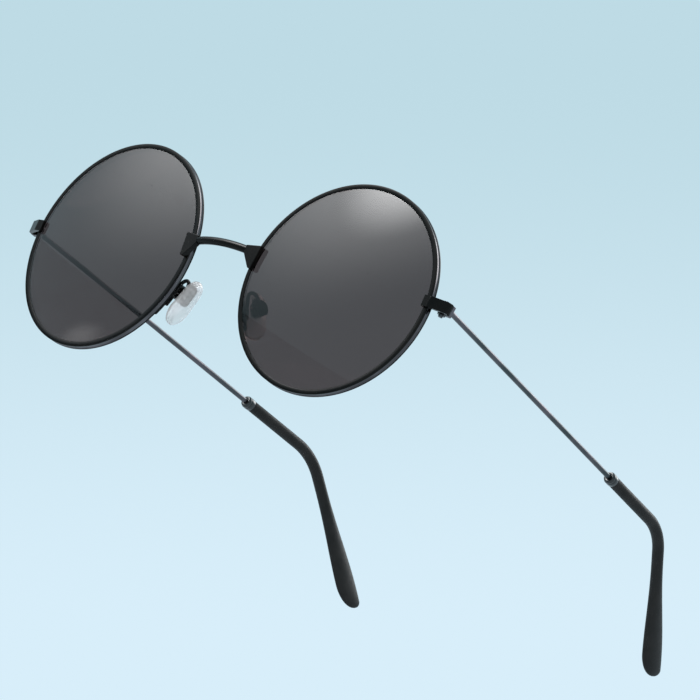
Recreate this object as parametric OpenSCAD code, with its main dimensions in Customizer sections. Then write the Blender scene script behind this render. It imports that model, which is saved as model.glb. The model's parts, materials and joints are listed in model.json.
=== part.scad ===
// Round metal sunglasses, standing open on the rims and the temple tips.
// Left and right are the wearer's: left is +X, right is -X. -Y is the front and +Z is up.
// The front frame has its origin midway between the lens centres, in the plane of the rims.

/* [Lenses and rims] */
// Diameter of each lens opening
opening_d = 50; // [42:0.5:56]
// Distance between the two lens openings
nose_gap = 21.3; // [18:0.1:26]
// Turn of each rim back from the nose to the temple, in degrees
wrap = 4.5; // [0:0.5:8]
// Radial width of the rim
rim_w = 1.15; // [1:0.05:1.6]
// Depth of the rim from front to back
rim_depth = 1.7; // [1.6:0.1:2]
// Depth of the round channel in the rim's outer face
channel_depth = 0.22; // [0.1:0.02:0.35]
// Depth of the groove that holds the lens
groove_depth = 0.45; // [0.3:0.05:0.55]
// Thickness of a lens
lens_t = 1.6; // [1.2:0.1:2]
// Radius of the lens's curved faces
lens_curve = 130; // [85:5:260]
// Gap between the two ends of a rim, inside its lock
rim_split = 0.4; // [0.2:0.1:0.8]

/* [Bridge] */
// Diameter of the bridge bar
bar_d = 1.9; // [1.4:0.1:2.4]
// Height of the bar's ends above the lens centres
bar_z = 4.14; // [2:0.1:8]
// Bow of the bar, from its ends to its middle
bar_bow = 0.96; // [0.5:0.1:3]
// Direction of that bow, in degrees above straight ahead
bow_rise = 20; // [0:5:80]
// Thickness of the bridge's solder plates
plate_t = 1.4; // [1:0.1:1.8]
// Height of a solder plate where it lies on the rim
plate_h = 5.8; // [4:0.2:8]
// Overlap of the plates and end pieces inwards past the rim
plate_lap = 0.25; // [0:0.05:0.6]

/* [End pieces and hinges] */
// Height of the hinge centre above the lens centres
hinge_z = 1.7; // [0:0.1:6]
// Distance of the hinge pin outwards from the rim
pin_out = 1.95; // [1.4:0.05:2.6]
// Distance of the hinge pin behind the rim
pin_back = 2.45; // [2.45:0.05:4]
// Height of the end pieces
end_h = 2.7; // [2.5:0.1:3.6]
// Thickness of the end pieces
end_t = 0.9; // [0.7:0.05:1.1]
// Turn of the end pieces back from the rims, in degrees
end_turn = 26; // [15:1:35]
// Outer diameter of the hinge barrels
barrel_d = 2; // [1.9:0.1:2.4]
// Diameter of the hinge screws
hinge_screw_d = 1.1; // [0.9:0.1:1.2]
// Diameter of the hinge screw heads
hinge_head_d = 1.7; // [1.5:0.1:2]
// Length of the screw that shows below the barrels
screw_tail = 0.5; // [0.2:0.1:0.8]
// Diameter of the rim lock screws
lock_screw_d = 0.8; // [0.7:0.1:1]
// Diameter of the rim lock screw heads
lock_head_d = 1.3; // [1.2:0.1:1.7]
// Width of the rim lock blocks, outwards from the rim
lock_w = 2; // [1.8:0.1:2.3]

/* [Temples] */
// Inward turn of the open temples, in degrees
splay = 5.2; // [0:0.2:10]
// Downward slope of the temples against the front, in degrees
drop = 4.1; // [0:0.1:8]
// Outward lean of the hinge pins, which makes the folded temples cross, in degrees
pin_lean = 4; // [2:0.5:6]
// Diameter of the temple wire
wire_d = 1.25; // [1:0.05:1.5]
// Distance of the temple wire outwards from the pin
wire_out = 1.75; // [1.75:0.05:2.6]
// Distance from the pin to the front of the collar
collar_at = 80.4; // [60:0.1:95]
// Length of the collar
collar_l = 2.2; // [1.5:0.1:4]
// Diameter of the collar
collar_d = 3; // [2.8:0.1:3.4]
// Distance from the pin to the bend of the temple
bend_at = 101.8; // [98:0.1:110]
// Radius of the bend
bend_r = 14.4; // [9:0.2:18]
// Angle of the bend, in degrees
bend_angle = 42.4; // [35:0.1:50]
// Inward lean of the tip below the bend, in degrees
toe_in = 7.2; // [0:0.2:9]
// Diameter of the plastic tip along the wire
tip_d = 2.8; // [2.4:0.1:3.2]
// Length of the tip past the bend
tip_l = 33.6; // [28:0.1:38]
// Width of the tip near its end
tip_w = 6.2; // [4:0.2:8]
// Thickness of the tip near its end
tip_t = 2.5; // [2:0.1:3]
// Length of the wire core inside the tip past the bend
core_l = 20; // [10:1:24]

/* [Nose pads] */
// Distance of the pad boxes from the middle
pad_x = 12.7; // [11.8:0.1:13]
// Distance of the pad boxes behind the lens centres
pad_y = 3.1; // [3:0.1:5]
// Distance of the pad boxes below the lens centres
pad_z = 7.2; // [5:0.1:9]
// Lean of the pads and their arms towards each other at the top, in degrees
pad_lean = 20; // [10:1:30]
// Turn of the pads to face the nose, in degrees
pad_turn = 18; // [10:1:30]
// Length of a pad
pad_l = 12; // [10:0.5:15]
// Width of a pad
pad_w = 7.8; // [6:0.2:9]
// Thickness of a pad
pad_t = 2.6; // [2:0.1:3.4]
// Diameter of the pad arm wire
arm_d = 0.9; // [0.7:0.05:1.1]
// Radius of the arm's loop
loop_r = 1.55; // [1.5:0.05:1.8]
// Outer diameter of the pad box
box_d = 3.8; // [3.4:0.1:4.2]
// Diameter of the pad screws
pad_screw_d = 0.9; // [0.7:0.05:1]

/* [Clearances] */
// Radial clearance of the hinge and pad screws in the parts that turn on them
running = 0.05; // [0.02:0.01:0.09]
// Gap between fixed pieces that are held but not fused
seat = 0.02; // [0.01:0.01:0.05]
// Side gap between the hinge barrels
side_gap = 0.08; // [0.05:0.01:0.15]
// Gap between the end piece and the open temple
butt_gap = 0.1; // [0.05:0.01:0.2]

/* [Hidden] */
$fn = 64;
eps = 0.01;

rim_in = opening_d / 2;
rim_out = rim_in + rim_w;
lens_x = (opening_d + nose_gap) / 2;
lens_clear = 0.05;
groove_h = 0.9;
// Width of the ring that joins the lens to its bevelled edge
lens_lap = 0.6;

// Length of a solder plate from the end of the bar to the rim
plate_l = 3.25;
// Width of the plate's lowest point, and how far the bar and its plates run into each other
plate_foot = 0.9;
plate_bite = 0.1;
bar_over = 1.2;

pin_x = lens_x + rim_out * cos(wrap) + pin_out;
pin_y = rim_out * sin(wrap) + pin_back;
barrel_h = 0.9;
hinge_h = 3 * barrel_h + 2 * side_gap;
// Room between the fixed leaf and the barrel that turns beside it
leaf_room = 0.12;
leaf_l = 0.25;
head_h = 0.5;
lock_head_h = 0.45;
pad_head_h = 0.4;
pad_head_d = 1.4;
slot_w = 0.3;
// How far the lock screw ends short of the lower block's face
lock_cover = 0.2;
butt_front = 0.45;
butt_back = 0.4;
butt_in = barrel_d / 2 + 0.1;
// The butt runs out into the round wire over a short cone
cone_d = 1.5;
cone_l = 1.8;
strip_out = wire_out + wire_d / 2 + 0.15;
strip_in = strip_out - end_t;
strip_front = 0.8;
strip_bite = 0.1;
strip_inset = 0.02;

// The core of the wire ends inside the tip, and its bore ends a little later
core_end_gap = 0.3;
tip_rings = 30;
tip_sides = 28;
tip_start = 3;
tip_full = 28;
tip_cut = 7.5;
tip_corner = 1.2;

box_depth = 1.9;
box_wall = 0.42;
box_floor = 0.3;
tab_r = 0.75;
tab_w = 1.3;
insert_t = 0.5;
insert_l = 5.6;
insert_w = 3.6;
insert_up = 0.5;
pad_up = 4.8;
loop_up = 1.75;
loop_in = 0.43;
leg_l = 5.4;
// The arm's foot lies behind the rim, between two angles below the lens centre, and thins past the leg
foot_from = 20;
foot_mid = 27;
foot_to = 34;
foot_lap = 0.45;
foot_w = 1.3;
foot_h = 1.5;
foot_thin = 0.8;

// Turns of a point about one axis
function turn_x(a, p) = [p.x, p.y * cos(a) - p.z * sin(a), p.y * sin(a) + p.z * cos(a)];
function turn_y(a, p) = [p.x * cos(a) + p.z * sin(a), p.y, -p.x * sin(a) + p.z * cos(a)];
function turn_z(a, p) = [p.x * cos(a) - p.y * sin(a), p.x * sin(a) + p.y * cos(a), p.z];

// From the straight end of the tip to the front frame, the same way as the modules below
function from_tip(p) = [0, bend_r * sin(bend_angle), -bend_r * (1 - cos(bend_angle))]
    + turn_x(-bend_angle, p);
function from_bend(p) = [wire_out, bend_at, 0] + turn_y(toe_in, p);
function from_hinge(p) = [pin_x, pin_y, hinge_z] + turn_z(splay, turn_x(-drop, turn_y(pin_lean, p)));

// Outline of the flat end of the tip: t runs along it, rear is the side away from the face
function ease(u) = u <= 0 ? 0 : u >= 1 ? 1 : u * u * (3 - 2 * u);
function half_w(t) = tip_d / 2 + (tip_w - tip_d) / 2 * ease((t - tip_start) / (tip_full - tip_start));
function end_u(t) = max(0, (t - (tip_l - tip_cut)) / tip_cut);
function corner_u(t) = max(0, (t - (tip_l - tip_corner)) / tip_corner);
function arc_fall(u) = 1 - sqrt(max(0, 1 - u * u));
function rear(t) = half_w(t) - tip_corner * arc_fall(corner_u(t));
function front(t) = -half_w(t) + (tip_w - tip_corner) * arc_fall(end_u(t));
function half_t(t) = (tip_d + (tip_t - tip_d) * ease(t / tip_full)) / 2 * sqrt(max(0, 1 - pow(end_u(t), 3)));
// Stations lie closer together where the end rounds off
function station(i) = tip_l * sin(90 * pow(i / tip_rings, 0.8));
function ring_point(t, k) = [
    half_t(t) * cos(360 * k / tip_sides),
    t,
    (rear(t) + front(t)) / 2 + (rear(t) - front(t)) / 2 * sin(360 * k / tip_sides)
];
tip_points = [for (i = [0 : tip_rings - 1], k = [0 : tip_sides - 1]) ring_point(station(i), k)];
tip_end = [0, tip_l, tip_w / 2 - tip_corner];

// The lean of the front that sets the rims and the tips on one floor
tip_low = [for (p = concat(tip_points, [tip_end])) from_hinge(from_bend(from_tip(p)))];
rim_low = [-rim_depth / 2, -rim_out];
lean = -atan(min([for (p = tip_low) (p.z - rim_low.y) / (p.y - rim_low.x)]));
bar_x = lens_x - rim_in - plate_l;
bar_y = -rim_out * sin(wrap) - rim_depth / 2 - plate_t / 2;
bar_mid = [bar_y - bar_bow * cos(bow_rise), bar_z + bar_bow * sin(bow_rise)];
front_y = turn_x(lean, [0, bar_mid.x, bar_mid.y]).y - bar_d / 2;
back_y = max([for (p = tip_low) turn_x(lean, p).y]);
floor_z = turn_x(lean, [0, rim_low.x, rim_low.y]).z;

module stand() translate([0, -(front_y + back_y) / 2, -floor_z]) rotate([lean, 0, 0]) children();
module left() stand() children();
module right() stand() mirror([1, 0, 0]) children();
module at_lens() translate([lens_x, 0, 0]) rotate([0, 0, wrap]) children();
module at_hinge() translate([pin_x, pin_y, hinge_z]) rotate([0, 0, splay]) rotate([-drop, 0, 0])
    rotate([0, pin_lean, 0]) children();
module at_bend() translate([wire_out, bend_at, 0]) rotate([0, toe_in, 0]) children();
module past_bend() translate([0, bend_r * sin(bend_angle), -bend_r * (1 - cos(bend_angle))])
    rotate([-bend_angle, 0, 0]) children();
module box_between(lo, hi) translate(lo) cube(hi - lo);
module along_y(r, y0, y1) translate([0, y0, 0]) rotate([-90, 0, 0]) cylinder(r = r, h = y1 - y0);
module along_x(r, x0, x1) translate([x0, 0, 0]) rotate([0, 90, 0]) cylinder(r = r, h = x1 - x0);
module around_y() rotate([90, 0, 0]) rotate_extrude($fn = 180) children();
module bend_tube(r) translate([0, 0, -bend_r]) rotate([0, -90, 0])
    rotate_extrude(angle = bend_angle, $fn = 180) translate([bend_r, 0]) circle(r);

module rim_section() {
    d = rim_depth / 2;
    edge = 0.1;
    lip = 0.35;
    polygon([
        [rim_in, edge - d], [rim_in + edge, -d], [rim_out - edge, -d], [rim_out, edge - d],
        [rim_out, lip - d], [rim_out - channel_depth, lip + channel_depth - d],
        [rim_out - channel_depth, d - lip - channel_depth], [rim_out, d - lip],
        [rim_out, d - edge], [rim_out - edge, d], [rim_in + edge, d], [rim_in, d - edge],
        [rim_in, groove_h / 2], [rim_in + groove_depth, 0], [rim_in, -groove_h / 2]
    ]);
}

module rim() color("#1b1b1d") at_lens() difference() {
    around_y() rim_section();
    box_between([rim_in - 1, -rim_depth, hinge_z - rim_split / 2],
                [rim_out + 1, rim_depth, hinge_z + rim_split / 2]);
}

module lens() color("#3c3c40", 0.9) at_lens() {
    edge_r = rim_in - lens_clear;
    reach = sqrt(lens_curve * lens_curve - edge_r * edge_r);
    difference() {
        intersection() {
            along_y(edge_r, -lens_t / 2 - lens_curve + reach, lens_t / 2);
            translate([0, reach - lens_t / 2, 0]) sphere(lens_curve, $fn = 128);
        }
        translate([0, reach + lens_t / 2, 0]) sphere(lens_curve, $fn = 128);
    }
    around_y() polygon([
        [edge_r - lens_lap, lens_clear - groove_h / 2], [edge_r, lens_clear - groove_h / 2],
        [rim_in + groove_depth - lens_clear, 0],
        [edge_r, groove_h / 2 - lens_clear], [edge_r - lens_lap, groove_h / 2 - lens_clear]
    ]);
}

// One fan-shaped plate lies on the front of each rim and takes the end of the bar
module bridge_plate() at_lens() {
    inner = rim_in - plate_lap;
    top = sqrt(inner * inner - pow(bar_z + plate_h / 4, 2));
    low = sqrt(inner * inner - pow(bar_z - plate_h * 3 / 4, 2));
    neck = lens_x - bar_x + plate_bite;
    translate([0, -rim_depth / 2, 0]) rotate([90, 0, 0]) linear_extrude(plate_t) polygon([
        [-neck, bar_z + bar_d / 2], [-top, bar_z + plate_h / 4],
        [-low, bar_z - plate_h * 3 / 4], [-low - plate_foot, bar_z - plate_h * 3 / 4],
        [-neck, bar_z - bar_d / 2]
    ]);
}

module bridge() color("#1b1b1d") stand() {
    bridge_plate();
    mirror([1, 0, 0]) bridge_plate();
    arc_r = (bar_x * bar_x + bar_bow * bar_bow) / (2 * bar_bow);
    half = asin(bar_x / arc_r) + bar_over;
    translate([0, bar_mid.x, bar_mid.y]) rotate([-bow_rise, 0, 0]) translate([0, arc_r, 0])
        rotate([0, 0, -90 - half]) rotate_extrude(angle = 2 * half, $fn = 180)
            translate([arc_r, 0]) circle(bar_d / 2);
}

pin_in_lens = turn_z(-wrap, [pin_x - lens_x, pin_y, 0]);
// The strip bends at the rim, runs back at a slant and turns its corner at the hinge
bend_x = rim_out + 0.2;
corner_r = 0.8;
corner_x = pin_in_lens.x + strip_in - corner_r;
slant_l = (corner_x - bend_x + corner_r * sin(end_turn)) / cos(end_turn);
corner_y = slant_l * sin(end_turn) + corner_r * cos(end_turn) - rim_depth / 2;
strip_end = -butt_front - butt_gap;
// The pin leans against the strip, so their common part stays off the leaf by this much
lean_room = end_h / 2 * sin(pin_lean) + strip_inset;
bend_steps = 6;
corner_steps = 14;
function on_arc(centre, r, a) = centre + r * [cos(a), sin(a)];
function corner_points(r, steps) = [for (i = steps) on_arc([corner_x, corner_y], r,
    end_turn - 90 + (90 - end_turn) * i / corner_steps)];
strip_outline = concat(
    [[bend_x, -rim_depth / 2], [rim_in - plate_lap, -rim_depth / 2],
     [rim_in - plate_lap, -rim_depth / 2 - end_t]],
    [for (i = [0 : bend_steps]) on_arc([bend_x, -rim_depth / 2], end_t, end_turn * i / bend_steps - 90)],
    corner_points(corner_r + end_t, [0 : corner_steps]),
    [for (x = [corner_r + end_t, corner_r]) [corner_x + x, corner_y + strip_bite]],
    corner_points(corner_r, [corner_steps : -1 : 0])
);

// A flat strip that starts on the front of the rim and turns back to the hinge
module end_piece() color("#1b1b1d") {
    low = hinge_z - end_h / 2;
    at_lens() translate([0, 0, low]) linear_extrude(end_h) polygon(strip_outline);
    hull() {
        at_lens() box_between([corner_x + corner_r + lean_room, corner_y, low + strip_inset],
                              [corner_x + corner_r + end_t - strip_inset, corner_y + strip_bite / 2,
                               low + end_h - strip_inset]);
        at_hinge() box_between([strip_in, -strip_front, -end_h / 2], [strip_out, strip_end, end_h / 2]);
    }
}

// The screw stands behind the slant of the strip, close to the rim, and its head ends level with it
lock_x = rim_out + lock_head_d / 2 + 0.1;
lock_y = 0.15;
lock_h = end_h - 2 * lock_head_h;

// A block behind the strip: its front follows the strip's bend, and its inner side fits the rim
module lock_block(lo, hi, front_gap, hole) color("#1b1b1d") at_lens() difference() {
    front = front_gap - rim_depth / 2;
    out = rim_out + lock_w;
    translate([0, 0, lo]) linear_extrude(hi - lo) polygon([
        [rim_in, front], [bend_x, front], [out, front + (out - bend_x) * tan(end_turn)],
        [out, rim_depth / 2], [rim_in, rim_depth / 2]
    ]);
    along_y(rim_out, -rim_depth, rim_depth, $fn = 360);
    translate([lock_x, lock_y, lo - eps]) cylinder(r = hole, h = hi - lo + 2 * eps);
}
module lock_upper() lock_block(hinge_z + rim_split / 2, hinge_z + lock_h / 2, 0,
                               lock_screw_d / 2 + running);
module lock_lower() lock_block(hinge_z - lock_h / 2, hinge_z - rim_split / 2, seat,
                               lock_screw_d / 2 + seat);

// A slotted cheese head on top of a plain shank, pointing down from the head
module screw(d, shank, head_d, head) difference() {
    union() {
        translate([0, 0, -shank]) cylinder(d = d, h = shank + eps);
        cylinder(d = head_d, h = head);
    }
    box_between([-head_d, -slot_w / 2, head / 2], [head_d, slot_w / 2, head * 2]);
}
module lock_screw() color("#2a2a2c") at_lens()
    translate([lock_x, lock_y, hinge_z + lock_h / 2])
        screw(lock_screw_d, lock_h - lock_cover, lock_head_d, lock_head_h);

module barrel(z0, z1, hole) difference() {
    translate([0, 0, z0]) cylinder(d = barrel_d, h = z1 - z0);
    translate([0, 0, z0 - eps]) cylinder(d = hole, h = z1 - z0 + 2 * eps);
}
module hinge_front() color("#242427") at_hinge() {
    step = barrel_h / 2 + side_gap;
    hole = hinge_screw_d + 2 * seat;
    for (z0 = [step, -step - barrel_h]) barrel(z0, z0 + barrel_h, hole);
    difference() {
        box_between([-barrel_d / 4, strip_end - leaf_l, -hinge_h / 2], [strip_in, strip_end, hinge_h / 2]);
        cylinder(d = hole, h = hinge_h * 2, center = true);
        cylinder(d = barrel_d + 2 * leaf_room, h = 2 * step, center = true);
    }
}
module hinge_rear() color("#242427") at_hinge() difference() {
    union() {
        translate([0, 0, -barrel_h / 2]) cylinder(d = barrel_d, h = barrel_h);
        box_between([0, -butt_front / 2, -barrel_h / 2], [butt_in, butt_back / 2, barrel_h / 2]);
    }
    cylinder(d = hinge_screw_d + 2 * running, h = barrel_h * 2, center = true);
}
module hinge_screw() color("#2a2a2c") at_hinge() translate([0, 0, hinge_h / 2])
    screw(hinge_screw_d, hinge_h + screw_tail, hinge_head_d, head_h);

// The wire is stamped to a flat butt at the hinge and ends as a core inside the tip
module temple_wire() color("#3a3b3e") at_hinge() {
    box_between([butt_in, -butt_front, -end_h / 2], [strip_out, butt_back, end_h / 2]);
    translate([wire_out, butt_back - eps, 0]) rotate([-90, 0, 0])
        cylinder(d1 = cone_d, d2 = wire_d, h = cone_l);
    translate([wire_out, 0, 0]) along_y(wire_d / 2, butt_back - eps, bend_at);
    at_bend() {
        sphere(wire_d / 2 + eps);
        bend_tube(wire_d / 2);
        past_bend() {
            sphere(wire_d / 2 + eps);
            along_y(wire_d / 2, 0, core_l);
        }
    }
}

module collar() color("#111113") at_hinge() translate([wire_out, 0, 0]) difference() {
    nose = 0.5;
    union() {
        along_y(collar_d / 2, collar_at + nose, collar_at + collar_l);
        translate([0, collar_at, 0]) rotate([-90, 0, 0])
            cylinder(d1 = collar_d - nose, d2 = collar_d, h = nose);
    }
    along_y(wire_d / 2 + seat, collar_at - 1, collar_at + collar_l + 1);
}

// The tip is swept along the wire: a straight run, the bend and the flat end
arc_rings = 12;
straight_l = bend_at - collar_at - collar_l;
function circle_point(k) = tip_d / 2 * [cos(360 * k / tip_sides), 0, sin(360 * k / tip_sides)];
function arc_point(a, k) = [0, bend_r * sin(a), -bend_r * (1 - cos(a))] + turn_x(-a, circle_point(k));
sweep_points = concat(
    [for (k = [0 : tip_sides - 1]) circle_point(k) - [0, straight_l, 0]],
    [for (i = [0 : arc_rings - 1], k = [0 : tip_sides - 1]) arc_point(bend_angle * i / arc_rings, k)],
    [for (p = tip_points) from_tip(p)],
    [from_tip(tip_end)]
);
sweep_rings = 1 + arc_rings + tip_rings;
sweep_faces = concat(
    [[for (k = [0 : tip_sides - 1]) k]],
    [for (i = [0 : sweep_rings - 2], k = [0 : tip_sides - 1]) let (n = (k + 1) % tip_sides)
        [i * tip_sides + k, (i + 1) * tip_sides + k, (i + 1) * tip_sides + n]],
    [for (i = [0 : sweep_rings - 2], k = [0 : tip_sides - 1]) let (n = (k + 1) % tip_sides)
        [i * tip_sides + k, (i + 1) * tip_sides + n, i * tip_sides + n]],
    [for (k = [0 : tip_sides - 1]) let (n = (k + 1) % tip_sides, last = sweep_rings - 1)
        [last * tip_sides + k, sweep_rings * tip_sides, last * tip_sides + n]]
);
module temple_tip() color("#2c2c2e") at_hinge() at_bend() difference() {
    polyhedron(sweep_points, sweep_faces, convexity = 6);
    along_y(wire_d / 2 + seat, -straight_l - 1, 0);
    bend_tube(wire_d / 2 + seat);
    past_bend() along_y(wire_d / 2 + seat, 0, core_l + core_end_gap);
}

// The arm's frame has its origin at the centre of the loop, the pad's at the centre of the box
module at_arm() translate([pad_x, pad_y, -pad_z]) rotate([0, -pad_lean, 0])
    translate([-loop_in, -loop_r, loop_up]) children();
module at_pad() translate([pad_x, pad_y, -pad_z]) rotate([0, -pad_lean, 0]) rotate([0, 0, -pad_turn])
    children();
pivot_x = -0.2;
pad_back = -box_depth / 2 - 0.35;

module foot(to, h) at_lens() rotate([90, 0, 0]) rotate([0, 0, 180 + foot_from])
    rotate_extrude(angle = to - foot_from, $fn = 180)
        translate([rim_in - foot_lap, -rim_depth / 2 - h]) square([foot_w, h]);
module pad_arm() color("#1b1b1d") {
    at_arm() {
        rotate([0, -90, 0]) rotate([0, 0, -90]) rotate_extrude(angle = 180, $fn = 96)
            translate([loop_r, 0]) circle(arm_d / 2);
        translate([0, -loop_r, -leg_l]) cylinder(d = arm_d, h = leg_l);
        translate([0, loop_r, -0.1]) cylinder(d = arm_d, h = 0.1);
    }
    foot(foot_mid, foot_h);
    foot(foot_to, foot_thin);
    at_pad() difference() {
        along_x(box_d / 2, -box_depth / 2, box_depth / 2);
        along_x(box_d / 2 - box_wall, -box_depth, box_depth / 2 - box_floor);
        translate([pivot_x, 0, 0]) along_y(pad_screw_d / 2 + seat, -box_d, box_d);
    }
}
module pad_screw() color("#b9bcc0") at_pad() translate([pivot_x, box_d / 2, 0]) rotate([-90, 0, 0])
    screw(pad_screw_d, box_d, pad_head_d, pad_head_h);

module insert_plate(grow) translate([0, 0, insert_up]) {
    r = insert_w / 2 + grow;
    run = (insert_l - insert_w) / 2;
    for (z = [-run, run]) translate([0, 0, z]) along_x(r, pad_back - insert_t - grow, pad_back);
    box_between([pad_back - insert_t - grow, -r, -run], [pad_back, r, run]);
}
module pad_insert() color("#a9acb0") at_pad() difference() {
    union() {
        insert_plate(0);
        box_between([pad_back - eps, -tab_w / 2, -tab_r], [pivot_x, tab_w / 2, tab_r]);
        translate([pivot_x, 0, 0]) along_y(tab_r, -tab_w / 2, tab_w / 2);
    }
    translate([pivot_x, 0, 0]) along_y(pad_screw_d / 2 + running, -tab_w, tab_w);
}

// A pad runs between two rounded ends, sized as shares of its thickness and width
low_end = [0.65, 0.5, 0.52];
top_end = [0.6, 0.42, 0.4];
end_sink = 0.35;
module pad_end(share, z) translate([pad_back - end_sink * pad_t, 0, z])
    scale([share.x * pad_t, share.y * pad_w, share.z * pad_w]) sphere(1, $fn = 32);

module nose_pad() color("#e9eef0", 0.6) at_pad() difference() {
    intersection() {
        hull() {
            pad_end(low_end, pad_up - pad_l + low_end.z * pad_w);
            pad_end(top_end, pad_up - top_end.z * pad_w);
        }
        box_between([pad_back - pad_t, -pad_w, -pad_l], [pad_back, pad_w, pad_l]);
    }
    insert_plate(seat);
    box_between([pad_back - eps, -insert_w / 2, -insert_l / 2], [pad_back + 1, insert_w / 2, insert_l / 2]);
}

bridge();
left() rim();  // left_rim
right() rim();  // right_rim
left() lens();  // left_lens
right() lens();  // right_lens
left() end_piece();  // left_end_piece
right() end_piece();  // right_end_piece
left() lock_upper();  // left_lock_upper
right() lock_upper();  // right_lock_upper
left() lock_lower();  // left_lock_lower
right() lock_lower();  // right_lock_lower
left() lock_screw();  // left_lock_screw
right() lock_screw();  // right_lock_screw
left() hinge_front();  // left_hinge_front
right() hinge_front();  // right_hinge_front
left() hinge_screw();  // left_hinge_screw
right() hinge_screw();  // right_hinge_screw
left() hinge_rear();  // left_hinge_rear
right() hinge_rear();  // right_hinge_rear
left() temple_wire();  // left_temple_wire
right() temple_wire();  // right_temple_wire
left() collar();  // left_collar
right() collar();  // right_collar
left() temple_tip();  // left_temple_tip
right() temple_tip();  // right_temple_tip
left() pad_arm();  // left_pad_arm
right() pad_arm();  // right_pad_arm
left() pad_screw();  // left_pad_screw
right() pad_screw();  // right_pad_screw
left() pad_insert();  // left_pad_insert
right() pad_insert();  // right_pad_insert
left() nose_pad();  // left_nose_pad
right() nose_pad();  // right_nose_pad
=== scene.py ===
import json
import math
import bmesh
import bpy
from mathutils import Matrix, Vector


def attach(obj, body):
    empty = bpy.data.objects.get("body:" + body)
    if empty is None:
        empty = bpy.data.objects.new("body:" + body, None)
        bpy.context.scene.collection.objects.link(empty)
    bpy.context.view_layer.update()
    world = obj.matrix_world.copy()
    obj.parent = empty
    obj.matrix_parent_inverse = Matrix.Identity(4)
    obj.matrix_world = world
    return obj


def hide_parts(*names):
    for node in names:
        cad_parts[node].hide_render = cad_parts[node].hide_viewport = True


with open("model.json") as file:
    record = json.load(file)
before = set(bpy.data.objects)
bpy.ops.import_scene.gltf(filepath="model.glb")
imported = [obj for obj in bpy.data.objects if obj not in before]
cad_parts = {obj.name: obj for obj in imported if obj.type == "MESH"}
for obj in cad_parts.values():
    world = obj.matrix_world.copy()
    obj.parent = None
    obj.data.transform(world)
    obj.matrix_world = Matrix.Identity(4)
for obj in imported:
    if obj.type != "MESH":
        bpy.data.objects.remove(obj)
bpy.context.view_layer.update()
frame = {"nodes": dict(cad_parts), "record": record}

nodes = frame["nodes"]
print("frame loaded:", len(nodes), "nodes")

# camera, where the photograph was taken from: in front, to the wearer's left and a little below
cameraView = {
    "aim": (0.02364, -0.04338, 0.02178),
    "distance": 2.06156,
    "heading": -43.7676,  # degrees from +Y towards +X
    "rise": 15.3814,      # degrees upwards
    "roll": 25.6701,
    "lens": 462.857,
    "sensor": 36,
    "clip": (0.01, 20),
}


def directionOf(heading, rise):
    heading, rise = math.radians(heading), math.radians(rise)
    return Vector((math.sin(heading) * math.cos(rise), math.cos(heading) * math.cos(rise), math.sin(rise)))


def makeCamera(view):
    look = directionOf(view["heading"], view["rise"])
    roll = math.radians(view["roll"])
    levelRight = look.cross(Vector((0, 0, 1))).normalized()
    levelUp = levelRight.cross(look)
    right = levelRight * math.cos(roll) + levelUp * math.sin(roll)
    up = levelUp * math.cos(roll) - levelRight * math.sin(roll)
    data = bpy.data.cameras.new("photoCamera")
    data.lens = view["lens"]
    data.sensor_width = view["sensor"]
    data.clip_start, data.clip_end = view["clip"]
    camera = bpy.data.objects.new("photoCamera", data)
    bpy.context.scene.collection.objects.link(camera)
    turn = Matrix((right, up, -look)).transposed().to_4x4()
    camera.matrix_world = Matrix.Translation(Vector(view["aim"]) - look * view["distance"]) @ turn
    bpy.context.scene.camera = camera
    return up


pictureUp = makeCamera(cameraView)
bpy.context.scene.view_settings.view_transform = "Standard"
print("camera ready")

# pieces are modelled in millimetres in the front's own frame, as the CAD is,
# then stood up and scaled to metres
mm = 0.001
fit = {
    "lean": 3.15691, "shiftY": -67.6919, "shiftZ": 26.1571,  # how the front stands
    "lensX": 35.65, "wrap": 4.5, "rimIn": 25.0, "rimW": 1.15, "rimDepth": 1.7,
    "hingeZ": 1.7, "pinX": 63.6694, "pinY": 4.50171, "splay": 5.2, "drop": 4.1, "pinLean": 4.0,
    "wireOut": 1.75, "wireD": 1.25, "bendAt": 101.8, "toeIn": 7.2,
    "padX": 12.7, "padY": 3.1, "padZ": 7.2, "padLean": 20.0, "padTurn": 18.0,
}


def turned(degrees, axis):
    return Matrix.Rotation(math.radians(degrees), 4, axis)


def shifted(x, y, z):
    return Matrix.Translation((x, y, z))


standing = Matrix.Scale(mm, 4) @ shifted(0, fit["shiftY"], fit["shiftZ"]) @ turned(fit["lean"], "X")
atLens = shifted(fit["lensX"], 0, 0) @ turned(fit["wrap"], "Z")
atHinge = (shifted(fit["pinX"], fit["pinY"], fit["hingeZ"]) @ turned(fit["splay"], "Z")
           @ turned(-fit["drop"], "X") @ turned(fit["pinLean"], "Y"))
atBend = atHinge @ shifted(fit["wireOut"], fit["bendAt"], 0) @ turned(fit["toeIn"], "Y")
padStand = shifted(fit["padX"], fit["padY"], -fit["padZ"]) @ turned(-fit["padLean"], "Y")
atPad = padStand @ turned(-fit["padTurn"], "Z")


mirrored = Matrix.Scale(-1, 4, (1, 0, 0))
near = 0.01  # how close counts as the same place when vertices or faces are picked, in millimetres


def selectOnly(piece):
    bpy.ops.object.select_all(action="DESELECT")
    piece.select_set(True)
    bpy.context.view_layer.objects.active = piece


def editMode(piece):
    selectOnly(piece)
    bpy.ops.object.mode_set(mode="EDIT")


def objectMode():
    bpy.ops.object.mode_set(mode="OBJECT")


def applyPlace():
    bpy.ops.object.transform_apply(location=True, rotation=True, scale=True)


def extrudeBy(way):
    bpy.ops.mesh.extrude_region_move(TRANSFORM_OT_translate={"value": way})


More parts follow.
